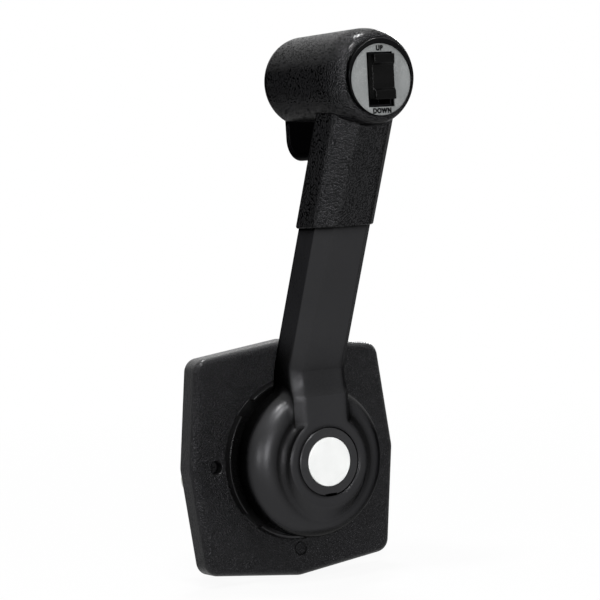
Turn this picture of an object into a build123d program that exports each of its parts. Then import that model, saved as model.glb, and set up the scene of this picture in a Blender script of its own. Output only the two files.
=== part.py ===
"""Side-mount throttle and shift control for a boat: face plate, cranked lever with a barrel grip,
neutral lock trigger, trim rocker, warm-up button and the gear mechanism behind the panel.

Millimetres. X runs aft (+) and forward (-) along the panel, Z is up, and -Y points out of the
panel towards the helm. The origin is where the lever's turning axis meets the panel's face.
"""
from build123d import *
from math import atan2, cos, pi, radians, sin, sqrt, tan
import os

# ---------------------------------------------------------------- fits
RUN = 0.05            # radial clearance of a turning shaft or a sliding rod
GAP = 0.3             # clearance between pieces that move past each other
PLAY = 0.15           # clearance between fixed pieces that drop into each other

# ---------------------------------------------------------------- face plate and its ring
PLATE_W = 132.0       # across opposite middle corners
PLATE_CORNER = 59.0   # half-width at the four main corners
PLATE_T = 13.5
PLATE_BEVEL = 4.0     # rounding of the front edge
PLATE_WALL = 3.5
CORNER_R = 8.0
MIDDLE_R = 12.0
RIB_T = 2.5
RING_R = 45.0         # hub ring, outside
RING_BORE = 31.0
RING_T = 2.0          # flange let into the plate
RING_H = 3.5          # raised segments above the plate
RING_WALL = 2.0
RING_LIP = 0.8        # part of the wall that slopes outwards
RING_GAP = 15.0       # degrees of each of the four gaps
PLATE_BORE = 28.0
ANNULUS_R = 48.5      # solid land around the opening, behind the ring
SCREW_PCR = 50.7      # radius of the panel screws' circle
SCREW_R = 2.1         # thread
SHANK_R = 2.4         # plain part inside the plate
SCREW_HEAD_R = 3.3
SCREW_HEAD_H = 2.6
SCREW_REACH = 24.0    # length behind the plate
SCREW_POINT = (4.0, 0.4)   # length of the point and its end's radius
HOLE_R = 3.6          # counterbore that takes the head and the plug
HOLE_DEPTH = 8.0
HOLE_EDGE = 0.5       # chamfer at the counterbore's mouth
PLUG_H = 3.0
PLUG_SUNK = 0.4
PLUG_GAP = 0.2

# ---------------------------------------------------------------- chassis and rear plate
CHASSIS_R = 42.0      # passes through the panel's cut-out
CHASSIS_T = 6.0
REAR_Y = 40.0         # front face of the rear plate
REAR_T = 3.0
POST_R = 5.0
POSTS = ((34.0, -12.0), (22.0, 28.0), (-22.0, 28.0), (-34.0, -12.0))
POST_SCREW_R = 2.0
POST_HEAD_R = 3.6
POST_HEAD_H = 2.4
POST_HOLE = 12.0      # depth of the screw hole in a post
POST_THREAD = 11.0    # length of screw in it
CHASSIS_SCREW_PCR = 36.5
CHASSIS_SCREW_R = 2.0
CHASSIS_SCREW_SHORT = 0.5   # screw stops short of the chassis's back
LOCK_R = 26.0         # neutral lock sleeve
LOCK_WALL = 3.5
LOCK_FLANGE_R = 31.5
LOCK_FLANGE_T = 2.5
LOCK_FACE = 25.0      # distance of its front edge from the panel
LOCK_NOTCH_W = 6.4
LOCK_NOTCH_DEEP = 9.0
LOCK_GAP = 0.4        # rod's tip over the sleeve
POST_LAND = 3.0       # rear plate's margin round a post

# ---------------------------------------------------------------- main shaft and gear pair
SHAFT_R = 7.0
SHAFT_BORE = 3.0
SHAFT_FLAT = 5.5       # half distance across the flats in the lever's hub
SHOULDER_R = 15.0
BUSH_WALL = 2.0
BUSH_FLANGE = 4.0
BUSH_FLANGE_T = 1.5
BOSS_R = 14.0
BOSS_END = 13.0       # rear face of the front bearing boss
BOSS_PROUD = 5.0      # boss in front of the chassis disc
SECTOR_BOSS_WALL = 2.0
MODULE = 1.75
PINION_TEETH = 12
SECTOR_TEETH = 24     # of the full circle
SECTOR_CUT = 8        # teeth that are really cut
PRESSURE_ANGLE = 25.0
ADDENDUM = 0.8        # in modules
DEDENDUM = 1.05
BACKLASH = 0.3        # along the pitch circle
GEAR_Y = 20.0
GEAR_W = 8.0
DRUM_R = 10.5
PINION_END = 33.0
SECTOR_SHAFT_R = 6.0
SECTOR_HUB_R = 9.0
ARM_Y = 49.5          # plane of the two cable arms
ARM_T = 5.0
THROTTLE_LEN = 34.0
SHIFT_LEN = 22.0
CABLE_PIN_R = 2.6
ARM_EYE_R = 5.5
FLAT_R = 5.0          # threaded, flatted shaft ends
FLAT = 3.8            # half distance across the flats
NUT_AF = 13.0
NUT_H = 5.0
THREAD_SHOWS = 1.5    # shaft end beyond its nut
HUB_THREAD_SHOWS = 1.0
SLEEVE_WALL = 1.8     # clutch sleeve
SHAFT_GAP = 0.5       # gear's lay shaft in front of the chassis bore's floor

# ---------------------------------------------------------------- cable bracket and switch
BRACKET_X = 86.0
BRACKET_T = 3.0
BRACKET_DEPTH = 20.0
CABLE_HOLE_R = 5.5
CABLE_Z = (34.0, -49.0)
BRACKET_LIP = 9.0     # bracket beyond a cable hole's centre
BRACKET_FOOT = ((14.0, 37.0), (14.0, -42.0))
BRACKET_KNEE = 60.0
HOLLOW_R = 8.0        # lightening holes
HOLLOWS = ((52.0, 24.0), (56.0, 2.0), (58.0, -24.0))
SWITCH = (20.0, 10.0, 11.5)
SWITCH_PLUNGER_R = 1.5
SWITCH_REACH = 3.0    # switch body beyond the cam
SWITCH_HOLES = ((5.0, 3.0), (15.0, -3.0))
SWITCH_HOLE_R = 1.25
SWITCH_SCREW_R = 1.15
SWITCH_HEAD_R = 2.2
SWITCH_HEAD_H = 1.4
SWITCH_TAGS = (12.0, 17.0)
TAG = (0.8, 6.0, 3.2)
CAM_R = 11.0

# ---------------------------------------------------------------- friction adjuster
SHOE_W = 10.0
SHOE_T = 5.0
SHOE_L = 5.0
FRICTION_R = 3.0
LUG_W = 12.0
LUG_Z = 23.0
LUG_H = 9.0
FRICTION_END = 7.0    # screw above the lug
FRICTION_NUT = (10.0, 4.0)
DRIVER_SLOT = (1.0, 1.5)

# ---------------------------------------------------------------- lever: dome and arm
RIM_R = 40.5          # turned-under rim
RIM_D = 19.0
DOME_R = 42.6
DOME_D = 43.0         # crown of the dome from the panel
DOME_SHOULDER = 12.0
DOME_SKIRT = 23.0     # where the wall starts to turn under
CROWN_R = 8.0         # rounding from the crown in towards the boss
CROWN_IN = 6.5        # width of that rounding
DOME_WALL = 3.5
HOLLOW_D = 38.0       # depth of the space behind the crown
HOLLOW_SHOULDER = 7.0
HUB_R = 20.0          # inner boss that the shaft clamps
HUB_D = 20.0
BOSS_TOP_IN = 5.9     # raised boss around the cap, its top's radius less than the crown's
BOSS_FOOT_IN = (3.55, -1.9)   # half axes of its foot, less than the crown's radius
BOSS_FOOT_D = 39.5
BOSS_DROP = 5.9       # the foot sits lower than the top, so the boss fades below
BOSS_BLEND = 4.0      # fillet between the boss and the dome
ARM_BLEND = 2.0       # fillet between the boss and the arm's bevels
BOSS_BACK = 46.0      # the edges so filleted lie in front of this, outside CORNER_X and at the join
CORNER_X = 13.0
JOIN_SPAN = (-2.0, 0.2)   # how far they reach below and above the join
FLARE_R = 8.0         # fillet between the arm's sides and the dome
FLARE_BACK = 25.0
FLARE_IN = 4.0        # how far it is let into both
FLARE_STEPS = 5
ARM_W = 35.0
ARM_BACK = 21.7       # arm's back from the panel, below the bend
ARM_SIDE = (22.0, 16.6, 16.0)   # side faces: foot, end of bend, top
ARM_BEVEL = (4.4, 4.9, 8.4)     # front bevels at the same places
ARM_LEAN = 24.5
BEND_Z = 48.2         # where the arm's two back lines would meet
BEND_LEN = 12.0       # from there to each end of the bend
ARM_TOP_Z = 187.0
LEVER_RIB_X = 8.0
LEVER_RIB_T = 3.0
LEVER_RIB_LOW = 8.0   # ribs stop short of the rim
EDGE_R = 2.0
TENON = (18.0, 12.0, 19.0)
TENON_FLOOR = 2.0     # metal beyond the screw holes' ends

# ---------------------------------------------------------------- hub cap and warm-up button
CAP_BORE = 19.0
CAP_R = 18.6
CAP_FACE = 48.4
CAP_LEDGE = 41.0
CAP_LEDGE_R = 17.0
CAP_NOTCH = (7.5, 1.3)
CAP_EDGE = 0.5
NUT_SEAT = 34.0
HUB_THREAD_R = 6.0
HUB_NUT_AF = 19.0
HUB_NUT_H = 5.0
WASHER_R = 13.0
WASHER_T = 1.5
BUTTON_R = 13.4
BUTTON_FACE = 48.8
BUTTON_T = 3.0
BUTTON_TRAVEL = 3.5
STEM_R = 2.4
STEM_TAIL = 2.0       # stem beyond the clutch pin
BUTTON_EDGE = 0.6
CLUTCH_PIN_R = 1.75
CLUTCH_PIN_Y = 31.2
BUTTON_SPRING_R = 8.0
BUTTON_WIRE = 0.7
BUTTON_TURNS = 2

# ---------------------------------------------------------------- sleeve and grip
SLEEVE_Z = 128.0
SLEEVE_T = 1.7
SLEEVE_CORNER = 5.0   # rounding of its front corners
SLEEVE_LIP = 1.3      # rounding of its lower edge
SLEEVE_TOP = 12.0     # sleeve runs on into the grip
SOCKET_DEEP = 20.0    # arm inside the grip
GRIP_REACH = 35.5452  # label's face in front of the arm's back, at the arm's top
GRIP_RISE = 18.0      # barrel's axis over the arm's top
GRIP_TILT = 1.0
GRIP_FRONT_R = 26.0
GRIP_BACK_R = 24.3
GRIP_LEN = 89.5
GRIP_END = 17.0       # length of the rounded back end
GRIP_SHOULDER = 15.0
GRIP_FACE_R = 20.3
GRIP_WALL = 3.0
GRIP_FACE_Y = 1.6     # grip's front edge behind the label's face
BULKHEAD_Y = 19.0
BULKHEAD_T = 3.0
CAP_RING_R = 20.1
CAP_RING_H = 1.0      # rim proud of the label
CAP_RING_DEEP = 9.0
LABEL_R = 18.6
LABEL_DROP = 1.3
LABEL_T = 0.8
GRIP_SCREW_R = 2.0
GRIP_SCREW_RISE = (6.5, 14.5)   # above the arm's top
GRIP_SCREW_GRAB = 9.0           # length in the tenon
WIRE_HOLE_R = 4.0
WIRE_HOLE_UP = 12.0

# ---------------------------------------------------------------- trim rocker
SLOT_W = 16.2
SLOT_H = 28.4
HOUSING_FRONT = 2.2
HOUSING_DEEP = 15.0
HOUSING_WALL = 1.2
HOUSING_FLOOR = 2.0
HOUSING_TAGS = (3.7, 9.7)   # heights of its two terminals
ROCKER_W = 12.2       # across its front
ROCKER_SKIRT = 15.0   # across its foot, at the label
ROCKER_SKIRT_Y = 0.3
ROCKER_BODY = 12.6    # inside the housing
ROCKER_H = 23.6
ROCKER_RISE = 1.4     # centre above the slot's centre
ROCKER_PROUD = 4.6
ROCKER_HOLLOW = 1.8
ROCKER_END = 4.5      # length of each raised end
ROCKER_RAMP = 1.5
ROCKER_EDGE = 0.5
ROCKER_PIVOT = 7.0    # behind the label's face
ROCKER_PIN_R = 1.25

# ---------------------------------------------------------------- lock trigger
TRIGGER_W = 24.0
TRIGGER_REACH = 79.0  # rear edge behind the label's face
TRIGGER_DROP = (41.0, 17.0)   # lower and upper edge under the barrel's axis
TRIGGER_R = 12.0
TRIGGER_EDGE = 3.0
TRIGGER_RIM = 3.8     # lip round the recess in each cheek
TRIGGER_RECESS = 1.2
TRIGGER_TRAVEL = 6.0
TONGUE_W = 8.0
TONGUE_RISE = 1.0     # along the arm, up from the trigger's lower edge
TONGUE_H = 12.0
TONGUE_WEB = 3.0      # tongue in front of the rod
TONGUE_BACK = 15.0
ROD_HOLD = 8.0        # rod inside the tongue
SLOT_BACK = 20.0      # reach of the arm's openings behind the rod
SLOT_SPARE = 1.0
ROD_R = 2.5
ROD_D = 67.0          # rod's distance from the panel at ROD_Z
ROD_Z = 128.0
COLLAR_R = 4.6
SPRING_R = 3.9
SPRING_WIRE = 0.9
SPRING_TURNS = 8
WIRE_SIDES = 6        # both springs' wire is faceted
SPRING_CHAMBER = (-80.0, -44.0)   # along the rod, from its datum at ROD_Z
WINDOW_IN = 3.0       # window's ends inside the chamber's
CLIP_T = 2.0
CLIP_REST = 0.4       # clip's rest height over the chamber's floor

# ---------------------------------------------------------------- worked out from those
GEAR_AXIS_Z = -MODULE * (PINION_TEETH + SECTOR_TEETH) / 2
ARM_FRONT = ARM_BACK + ARM_SIDE[0] + ARM_BEVEL[0]
BOSS_FRONT = -(CHASSIS_T + BOSS_PROUD)
CROWN = DOME_R - DOME_SHOULDER
BOSS_TOP_R = CROWN - BOSS_TOP_IN
JOIN_Z = [sqrt(BOSS_TOP_R ** 2 - (ARM_W / 2 - ARM_BEVEL[0]) ** 2) + reach for reach in JOIN_SPAN]
LEAN = radians(ARM_LEAN)
FRICTION_Y = (BOSS_END + GEAR_Y) / 2
SHAFT_END = ARM_Y + ARM_T + NUT_H + THREAD_SHOWS
HUB_NUT_FACE = -(NUT_SEAT + WASHER_T + HUB_NUT_H)
SWITCH_X = CAM_R + SWITCH_REACH
SWITCH_SPOTS = [(SWITCH_X + dx, GEAR_AXIS_Z + dz) for dx, dz in SWITCH_HOLES]
GRIP_D = ARM_BACK + (ARM_TOP_Z - BEND_Z) * tan(LEAN) + GRIP_REACH   # label's face from the panel
GRIP_Z = ARM_TOP_Z + GRIP_RISE
TRIGGER_BACK = GRIP_D - TRIGGER_REACH
TRIGGER_LOW, TRIGGER_TOP = [GRIP_Z - drop for drop in TRIGGER_DROP]
BULKHEAD_BACK = BULKHEAD_Y + BULKHEAD_T - GRIP_D
GRIP_SCREW_Z = [ARM_TOP_Z + rise for rise in GRIP_SCREW_RISE]
ROCKER_Z = ROCKER_RISE - LABEL_DROP
BEYOND = ARM_W        # spare length of a stretch that is cut off afterwards
# Stations along the lock rod, from its datum at ROD_Z.
ROD_TIP = (LOCK_R + LOCK_GAP - ROD_Z) / cos(LEAN) + ROD_R * tan(LEAN)
TONGUE_FOOT = (TRIGGER_LOW - ROD_Z) / cos(LEAN) + TONGUE_RISE
TONGUE_TOP = TONGUE_FOOT + TONGUE_H
CLIP_TOP = SPRING_CHAMBER[0] + CLIP_REST + CLIP_T
ROD = Pos(0, -ROD_D, ROD_Z) * Rot(ARM_LEAN, 0, 0)      # local Z runs up the arm
GRIP = Pos(0, -GRIP_D, GRIP_Z) * Rot(GRIP_TILT, 0, 0)  # local Y runs from the face to the back


# ================================================================ helpers
def cyl(r, y0, y1, x=0.0, z=0.0):
    """Cylinder along Y."""
    return Pos(x, (y0 + y1) / 2, z) * Rot(90, 0, 0) * Cylinder(r, y1 - y0)


def tube(r_out, r_in, y0, y1, x=0.0, z=0.0):
    return cyl(r_out, y0, y1, x, z) - cyl(r_in, y0, y1, x, z)


def rod_cyl(r, low, high):
    """Cylinder on the lock rod's line between two stations."""
    return ROD * Pos(0, 0, (low + high) / 2) * Cylinder(r, high - low)


def cross_cyl(r, length, y, z=0.0):
    """Cylinder along X, centred."""
    return Pos(0, y, z) * Rot(0, 90, 0) * Cylinder(r, length)


def block(x0, x1, y0, y1, z0, z1):
    return Pos((x0 + x1) / 2, (y0 + y1) / 2, (z0 + z1) / 2) * Box(x1 - x0, y1 - y0, z1 - z0)


def slab(sketch, y0, y1):
    """Extrude an X-Z outline between two depths."""
    return extrude(Plane.XZ.offset(-y1) * sketch, amount=y1 - y0)


def cheek(sketch, x0, x1):
    """Extrude a Y-Z outline between two X positions."""
    return extrude(Plane.YZ.offset(x0) * sketch, amount=x1 - x0)


def turned(*parts):
    """Revolve an outline of (radius, y) edges or points round the Y axis."""
    edges = Polyline(*parts, close=True) if isinstance(parts[0], tuple) else Curve() + list(parts)
    return revolve(make_face(edges), Axis.Y, 360)


def polar(r, angle):
    return (r * cos(radians(angle)), r * sin(radians(angle)))


def outline(*points):
    return make_face(Polyline(*points, close=True))


def bar(r_a, a, r_b, b):
    """Outline of a link that tapers from one round end to the other."""
    return make_hull((Pos(*a) * Circle(r_a)).edges() + (Pos(*b) * Circle(r_b)).edges())


def hexagon(across, y0, y1, bore, x=0.0, z=0.0):
    nut = slab(Pos(x, z) * RegularPolygon(across / 2, 6, major_radius=False), y0, y1)
    return nut - cyl(bore, y0, y1, x, z)


def flatted(r, half_flat, y0, y1, x=0.0, z=0.0):
    """Round bar with two flats, facing up and down."""
    return cyl(r, y0, y1, x, z) & block(x - r, x + r, y0, y1, z - half_flat, z + half_flat)


def screw(r, head_r, head_h, seat, end, x, z):
    """Pan-head screw along Y whose head bears on the plane y=seat and whose tip is at y=end."""
    sign = 1 if end > seat else -1
    top = seat - sign * head_h
    body = cyl(r, min(seat, end), max(seat, end), x, z) + cyl(head_r, min(seat, top), max(seat, top), x, z)
    slot_w, slot_l, slot_d = head_r * 0.28, head_r * 1.15, head_h * 0.5
    y0, y1 = sorted((top, top + sign * slot_d))
    return body - block(x - slot_l / 2, x + slot_l / 2, y0, y1, z - slot_w / 2, z + slot_w / 2) \
        - block(x - slot_w / 2, x + slot_w / 2, y0, y1, z - slot_l / 2, z + slot_l / 2)


def save(name, *pieces):
    """Write one node; several pieces stay separate solids."""
    solids = [solid for piece in pieces for solid in piece.solids()]
    export_step(solids[0] if len(solids) == 1 else Compound(children=solids), f"parts/{name}.step")
    print(name, len(solids), round(sum(solid.volume for solid in solids)))


# ================================================================ face plate
SCREW_SPOTS = [polar(SCREW_PCR, angle) for angle in (0, 90, 180, 270)]
CHASSIS_SPOTS = [polar(CHASSIS_SCREW_PCR, angle) for angle in (45, 135, 225, 315)]


def plate_outline():
    half = PLATE_W / 2
    face = outline((half, 0), (PLATE_CORNER, PLATE_CORNER), (0, half), (-PLATE_CORNER, PLATE_CORNER),
                   (-half, 0), (-PLATE_CORNER, -PLATE_CORNER), (0, -half), (PLATE_CORNER, -PLATE_CORNER))
    corners = [v for v in face.vertices() if abs(v.X) > 1 and abs(v.Y) > 1]
    face = fillet(corners, CORNER_R)
    middles = [v for v in face.vertices() if abs(v.X) < 1 or abs(v.Y) < 1]
    return fillet(middles, MIDDLE_R)


def face_plate():
    """Moulded octagonal cover, hollow behind, with ribs and four screw pillars."""
    face = plate_outline()
    plate = slab(face, -PLATE_T, 0)
    plate = fillet(plate.faces().sort_by(Axis.Y)[0].edges(), PLATE_BEVEL)
    floor = -(PLATE_T - PLATE_WALL)
    pocket = slab(offset(face, amount=-PLATE_WALL), floor, 0) - cyl(ANNULUS_R, floor, 0)
    for x, z in SCREW_SPOTS:
        pocket -= cyl(HOLE_R + PLATE_WALL, floor, 0, x, z)
    for k in range(8):
        pocket -= Rot(0, 45 * k, 0) * block(0, PLATE_W, floor, 0, -RIB_T / 2, RIB_T / 2)
    plate -= pocket
    plate -= cyl(PLATE_BORE, -PLATE_T, 0)
    plate -= cyl(RING_R + PLAY, -PLATE_T, RING_T - PLATE_T)
    plate -= cyl(CHASSIS_R + PLAY, -CHASSIS_T, 0)
    plate -= cyl(LOCK_FLANGE_R + PLAY, -CHASSIS_T - LOCK_FLANGE_T, -CHASSIS_T)
    for x, z in SCREW_SPOTS:
        plate -= cyl(HOLE_R, -PLATE_T, HOLE_DEPTH - PLATE_T, x, z)
        plate -= cyl(SHANK_R + PLAY, -PLATE_T, 0, x, z)
        plate -= Pos(x, 0, z) * turned((0, -PLATE_T), (HOLE_R + HOLE_EDGE, -PLATE_T),
                                       (HOLE_R, HOLE_EDGE - PLATE_T), (0, HOLE_EDGE - PLATE_T))
    for x, z in CHASSIS_SPOTS:
        plate -= cyl(POST_HEAD_R + PLAY, RING_T - PLATE_T, RING_T - PLATE_T + POST_HEAD_H, x, z)
        plate -= cyl(CHASSIS_SCREW_R + PLAY, -PLATE_T, 0, x, z)
    return plate


def hub_ring():
    """Ring let into the plate round the dome, its rim cut into four by diagonal gaps."""
    top = -PLATE_T - RING_H
    ring = turned((RING_BORE, RING_T - PLATE_T), (RING_R, RING_T - PLATE_T), (RING_R, -PLATE_T),
                  (RING_R - RING_LIP, top), (RING_R - RING_WALL, top),
                  (RING_R - RING_WALL, -PLATE_T), (RING_BORE, -PLATE_T))
    width = 2 * RING_R * sin(radians(RING_GAP / 2))
    for k in range(4):
        ring -= Rot(0, 45 + 90 * k, 0) * block(RING_R - 2 * RING_WALL, RING_R + 1, top, -PLATE_T,
                                               -width / 2, width / 2)
    return ring


def panel_screws():
    """Plain shank inside the plate, then the thread and its point."""
    point = SCREW_REACH - SCREW_POINT[0]
    thread = turned((0, 0), (SCREW_R, 0), (SCREW_R, point), (SCREW_POINT[1], SCREW_REACH), (0, SCREW_REACH))
    return [screw(SHANK_R, SCREW_HEAD_R, SCREW_HEAD_H, HOLE_DEPTH - PLATE_T, 0, x, z) + Pos(x, 0, z) * thread
            for x, z in SCREW_SPOTS]


def screw_plugs():
    """Flush plugs; the forward hole has none, so its screw shows."""
    front = PLUG_SUNK - PLATE_T
    return [cyl(HOLE_R - PLUG_GAP, front, front + PLUG_H, x, z) for x, z in SCREW_SPOTS if x > -1]


# ================================================================ chassis and bearings
def chassis():
    """Die-cast disc with the two bearing bosses, four posts and the friction lug."""
    body = cyl(CHASSIS_R, -CHASSIS_T, 0)
    body += cyl(BOSS_R, BOSS_FRONT, BOSS_END)
    body += cyl(SECTOR_SHAFT_R + BUSH_WALL + SECTOR_BOSS_WALL, -CHASSIS_T, BOSS_END, 0, GEAR_AXIS_Z)
    for x, z in POSTS:
        body += cyl(POST_R, 0, REAR_Y, x, z)
    body += block(-LUG_W / 2, LUG_W / 2, 0, 2 * FRICTION_Y - BOSS_END, LUG_Z, LUG_Z + LUG_H)
    body -= cyl(SHAFT_R + BUSH_WALL, BOSS_FRONT, BOSS_END)
    body -= cyl(SECTOR_SHAFT_R + BUSH_WALL, 0, BOSS_END, 0, GEAR_AXIS_Z)
    body -= Pos(0, FRICTION_Y, LUG_Z + LUG_H / 2) * Cylinder(FRICTION_R + PLAY, LUG_H)
    for x, z in POSTS:
        body -= cyl(POST_SCREW_R + PLAY, REAR_Y - POST_HOLE, REAR_Y, x, z)
    for x, z in CHASSIS_SPOTS:
        body -= cyl(CHASSIS_SCREW_R + PLAY, -CHASSIS_T, 0, x, z)
    return body


def chassis_screws():
    seat = RING_T - PLATE_T + POST_HEAD_H
    return [screw(CHASSIS_SCREW_R, POST_HEAD_R, POST_HEAD_H, seat, -CHASSIS_SCREW_SHORT, x, z)
            for x, z in CHASSIS_SPOTS]


def lock_sleeve():
    """Steel sleeve round the shaft with the neutral notch that the lock rod looks into."""
    back = -CHASSIS_T
    body = tube(LOCK_R, LOCK_R - LOCK_WALL, -LOCK_FACE, back)
    body += tube(LOCK_FLANGE_R, LOCK_R - LOCK_WALL, back - LOCK_FLANGE_T, back)
    notch = block(-LOCK_NOTCH_W / 2, LOCK_NOTCH_W / 2, -LOCK_FACE, LOCK_NOTCH_DEEP - LOCK_FACE, 0, LOCK_R)
    return body - notch


def flanged_bush(bore, y0, y1, flange_y, z=0.0):
    """Bush from y0 to y1 with its flange on the outer side of y0 or y1."""
    f0, f1 = sorted((flange_y, flange_y + (BUSH_FLANGE_T if flange_y == y1 else -BUSH_FLANGE_T)))
    body = tube(bore + BUSH_WALL, bore + RUN, y0, y1, 0, z)
    return body + tube(bore + BUSH_FLANGE, bore + RUN, f0, f1, 0, z)


def rear_plate():
    """Steel plate on the posts that carries the rear ends of both shafts."""
    rounds = Sketch() + [Pos(x, z) * Circle(POST_R + POST_LAND) for x, z in POSTS]
    rounds += Pos(0, GEAR_AXIS_Z) * Circle(SECTOR_SHAFT_R + BUSH_FLANGE)
    plate = slab(make_hull(rounds.edges()), REAR_Y, REAR_Y + REAR_T)
    for bore, z in ((SHAFT_R, 0), (SECTOR_SHAFT_R, GEAR_AXIS_Z)):
        plate += cyl(bore + BUSH_FLANGE, REAR_Y, REAR_Y + 2 * REAR_T, 0, z)
        plate -= cyl(bore + BUSH_WALL, REAR_Y, REAR_Y + 2 * REAR_T, 0, z)
    for x, z in POSTS:
        plate -= cyl(POST_SCREW_R + PLAY, REAR_Y, REAR_Y + REAR_T, x, z)
    return plate


def rear_screws():
    """The two aft screws also hold the cable bracket."""
    screws = []
    for x, z in POSTS:
        seat = REAR_Y + REAR_T + (BRACKET_T if x > 0 else 0)
        screws.append(screw(POST_SCREW_R, POST_HEAD_R, POST_HEAD_H, seat, REAR_Y - POST_THREAD, x, z))
    return screws


# ================================================================ friction adjuster
def friction_shoe():
    shoe = block(-SHOE_W / 2, SHOE_W / 2, FRICTION_Y - SHOE_L / 2, FRICTION_Y + SHOE_L / 2,
                 DRUM_R - 2, DRUM_R + SHOE_T)
    return shoe - cyl(DRUM_R + RUN, FRICTION_Y - SHOE_L, FRICTION_Y + SHOE_L)


def friction_screw():
    low, high = DRUM_R + SHOE_T, LUG_Z + LUG_H + FRICTION_END
    body = Pos(0, FRICTION_Y, (low + high) / 2) * Cylinder(FRICTION_R, high - low)
    return body - block(-FRICTION_R, FRICTION_R, FRICTION_Y - DRIVER_SLOT[0] / 2,
                        FRICTION_Y + DRIVER_SLOT[0] / 2, high - DRIVER_SLOT[1], high)


def friction_nut():
    across, height = FRICTION_NUT
    six = Pos(0, FRICTION_Y) * RegularPolygon(across / 2, 6, major_radius=False)
    nut = extrude(six - Pos(0, FRICTION_Y) * Circle(FRICTION_R + PLAY), height)
    return Pos(0, 0, LUG_Z + LUG_H) * nut


# ================================================================ gears
def involute(base_r, r):
    """Angle, in radians, by which an involute has turned at radius r."""
    t = sqrt(max((r / base_r) ** 2 - 1, 0))
    return t - atan2(t, 1)


def gear_outline(teeth, cut, aim):
    """Outline of a gear with `cut` of its `teeth`, the middle of the cut at angle `aim`; a full
    gear has a tooth there and a part gear a gap."""
    pitch_r = MODULE * teeth / 2
    base_r = pitch_r * cos(radians(PRESSURE_ANGLE))
    root_r, tip_r = pitch_r - DEDENDUM * MODULE, pitch_r + ADDENDUM * MODULE
    half = (pi * MODULE / 2 - BACKLASH / 2) / 2 / pitch_r + involute(base_r, pitch_r)
    low_r = max(base_r, root_r)
    steps = [low_r + (tip_r - low_r) * k / 3 for k in range(4)]
    flank = [(root_r, half)] * (root_r < low_r) + [(r, half - involute(base_r, r)) for r in steps]
    pitch = 2 * pi / teeth
    first = radians(aim) - pitch * (cut - 1) / 2 if cut < teeth else radians(aim)
    points = []
    for k in range(cut):
        middle = first + k * pitch
        points += [(r, middle - a) for r, a in flank] + [(r, middle + a) for r, a in reversed(flank)]
    if cut < teeth:
        start, end = first - pitch / 2, first + (cut - 0.5) * pitch
        points = [(root_r, start)] + points + [(root_r, end), (0, end)]
    return outline(*[(r * cos(a), r * sin(a)) for r, a in points])


def pinion():
    """Twelve teeth; smooth drum in front for the friction shoe, clutch slot in the rear hub."""
    body = slab(gear_outline(PINION_TEETH, PINION_TEETH, -90), GEAR_Y, GEAR_Y + GEAR_W)
    body += cyl(DRUM_R, BOSS_END + PLAY, GEAR_Y)
    body += cyl(DRUM_R, GEAR_Y + GEAR_W, PINION_END)
    body -= cyl(SHAFT_R + RUN, BOSS_END, PINION_END)
    slot = CLUTCH_PIN_R + PLAY
    return body - block(-DRUM_R, DRUM_R, CLUTCH_PIN_Y - slot, PINION_END, -slot, slot)


def sector():
    """Eight teeth of twenty-four on a long hub, meshing below the pinion."""
    gear = slab(gear_outline(SECTOR_TEETH, SECTOR_CUT, 90), GEAR_Y + PLAY, GEAR_Y + GEAR_W - PLAY)
    body = gear + cyl(SECTOR_HUB_R, BOSS_END + BUSH_FLANGE_T + PLAY, REAR_Y - BUSH_FLANGE_T - PLAY)
    return Pos(0, 0, GEAR_AXIS_Z) * (body - cyl(SECTOR_SHAFT_R + RUN, 0, REAR_Y))


def main_shaft():
    """Hollow shaft: thread and flats in the lever's hub, shoulder, journals, flatted rear end."""
    thrust = BOSS_FRONT - BUSH_FLANGE_T - PLAY
    shaft = cyl(HUB_THREAD_R, HUB_NUT_FACE - HUB_THREAD_SHOWS, -NUT_SEAT)
    shaft += flatted(SHAFT_R, SHAFT_FLAT, -NUT_SEAT, -HUB_D)
    shaft += cyl(SHOULDER_R, -HUB_D, thrust)
    shaft += cyl(SHAFT_R, thrust, ARM_Y)
    shaft += flatted(FLAT_R, FLAT, ARM_Y, SHAFT_END)
    shaft -= cyl(SHAFT_BORE, -NUT_SEAT * 2, REAR_Y)
    half = CLUTCH_PIN_R + PLAY
    return shaft - block(-SHAFT_R, SHAFT_R, CLUTCH_PIN_Y - half, CLUTCH_PIN_Y + BUTTON_TRAVEL + half,
                         -half, half)


def clutch_sleeve():
    """Spacer behind the pinion, open each side for the clutch pin."""
    half = CLUTCH_PIN_R + PLAY
    body = tube(SHAFT_R + SLEEVE_WALL, SHAFT_R + RUN, PINION_END + PLAY, REAR_Y - BUSH_FLANGE_T - PLAY)
    return body - block(-DRUM_R, DRUM_R, PINION_END, CLUTCH_PIN_Y + BUTTON_TRAVEL + half, -half, half)


def sector_shaft():
    shaft = cyl(SECTOR_SHAFT_R, SHAFT_GAP, ARM_Y, 0, GEAR_AXIS_Z)
    return shaft + flatted(FLAT_R, FLAT, ARM_Y, SHAFT_END, 0, GEAR_AXIS_Z)


def cable_arm(hub_r, length, z, cam=False):
    """Steel arm on a flatted shaft end, with the cable's pin hole at its tip."""
    tip = z + length
    body = slab(bar(hub_r, (0, z), ARM_EYE_R, (0, tip)), ARM_Y, ARM_Y + ARM_T)
    if cam:
        body += slab(bar(hub_r - 2, (0, z), 3, (CAM_R - 3, z)), ARM_Y, ARM_Y + ARM_T)
    body -= flatted(FLAT_R + RUN, FLAT + RUN, ARM_Y, ARM_Y + ARM_T, 0, z)
    return body - cyl(CABLE_PIN_R, ARM_Y, ARM_Y + ARM_T, 0, tip)


def end_nut(z):
    return hexagon(NUT_AF, ARM_Y + ARM_T, ARM_Y + ARM_T + NUT_H, FLAT_R + PLAY, 0, z)


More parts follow.
